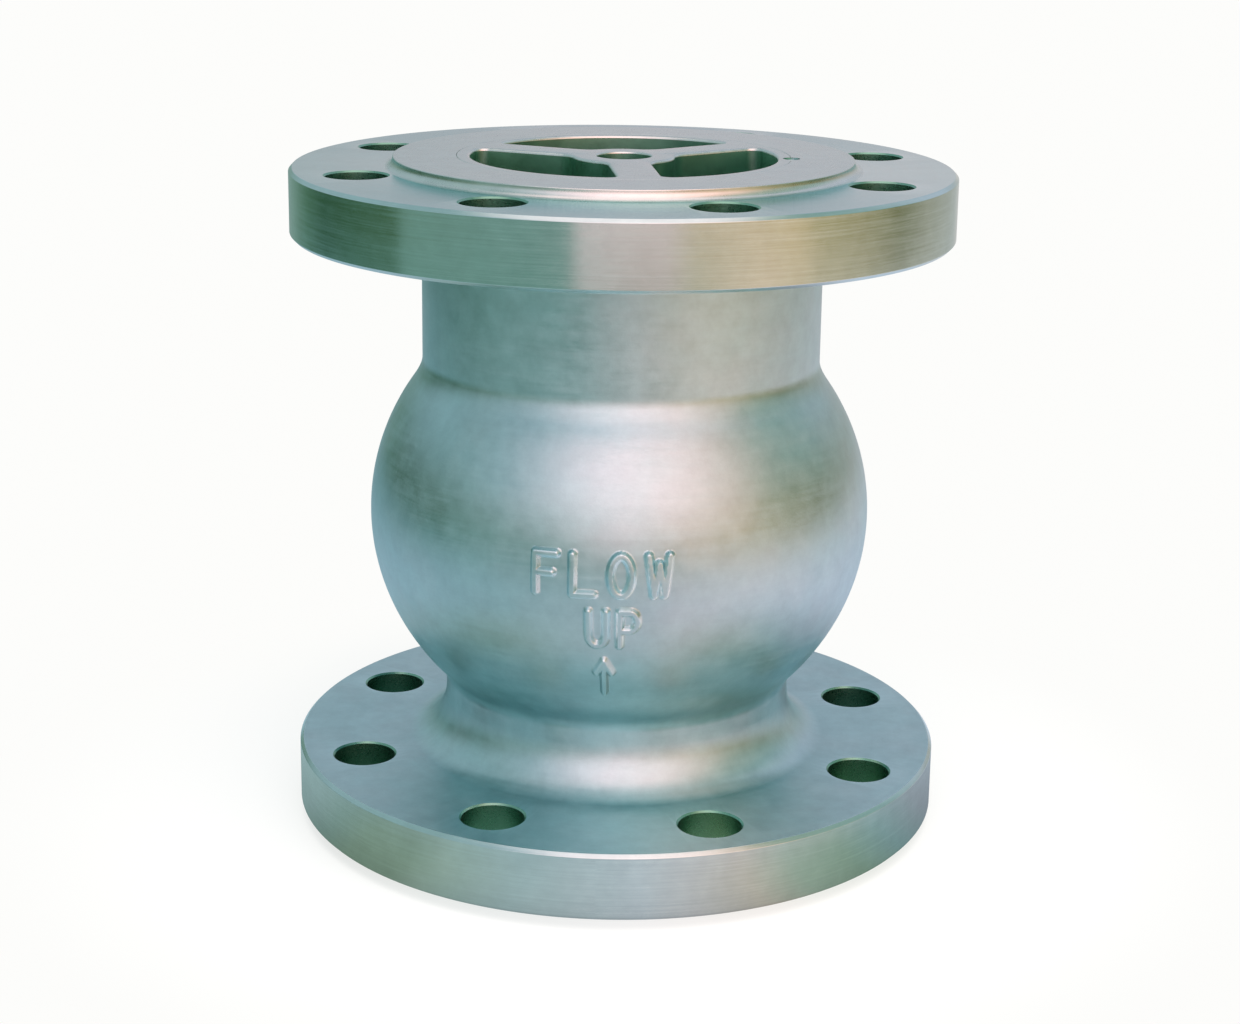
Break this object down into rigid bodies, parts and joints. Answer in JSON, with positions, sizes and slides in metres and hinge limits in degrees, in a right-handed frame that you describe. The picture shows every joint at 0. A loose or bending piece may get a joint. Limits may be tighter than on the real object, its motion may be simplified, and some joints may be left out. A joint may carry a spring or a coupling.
{
  "type": "flanged lift check valve",
  "caption": "Globe-bodied non-return valve with drilled flanges and a spring-closed disc that lifts along the flow in an outlet guide.",
  "frame": {"origin": "centre of the inlet flange's raised face, which the valve stands on", "axes": "+Z along the flow from inlet to outlet, which is up; -Y is the front, where the cast marking is; +X is the side with the spider's lock screw"},
  "size_m": [0.195, 0.195, 0.2],
  "materials": {
    "cast_stainless": "blasted casting with turned flanges",
    "turned_stainless": "turned and milled",
    "spring_steel": "drawn wire",
    "fastener_steel": "machined",
    "bronze": "machined bearing bronze",
    "ptfe": "moulded and turned",
    "gasket_fibre": "pressed fibre sheet",
    "seal_rubber": "moulded"
  },
  "bodies": {
    "housing": {"valve_body": "cast_stainless", "guide_spider": "turned_stainless", "spider_lock_screw": "fastener_steel", "upper_guide_bush": "bronze", "lower_guide_bush": "bronze", "bush_snap_ring": "spring_steel", "seat_ring": "turned_stainless", "seat_gasket": "gasket_fibre", "seat_lock_screw_front": "fastener_steel", "seat_lock_screw_back": "fastener_steel", "upper_spring_washer": "turned_stainless", "closing_spring": "spring_steel"},
    "spring_seat": {"lower_spring_washer": "turned_stainless"},
    "disc_assembly": {"valve_disc": "turned_stainless", "disc_seal_ring": "ptfe", "seal_retainer": "turned_stainless", "stem": "turned_stainless", "stem_seal_ring": "seal_rubber", "retainer_washer": "fastener_steel", "castle_nut": "fastener_steel", "split_pin": "fastener_steel"}
  },
  "joints": [
    {"name": "disc_lift", "type": "slide", "parent": "housing", "child": "spring_seat", "axis": [0, 0, 1], "range_m": [0, 0.02], "stiffness_N_per_m": 1460, "springref_m": -0.0103, "deforming": ["closing_spring"]},
    {"name": "disc_spin", "type": "hinge", "parent": "spring_seat", "child": "disc_assembly", "pos_m": [0, 0, 0.0725], "axis": [0, 0, 1], "continuous": true}
  ]
}
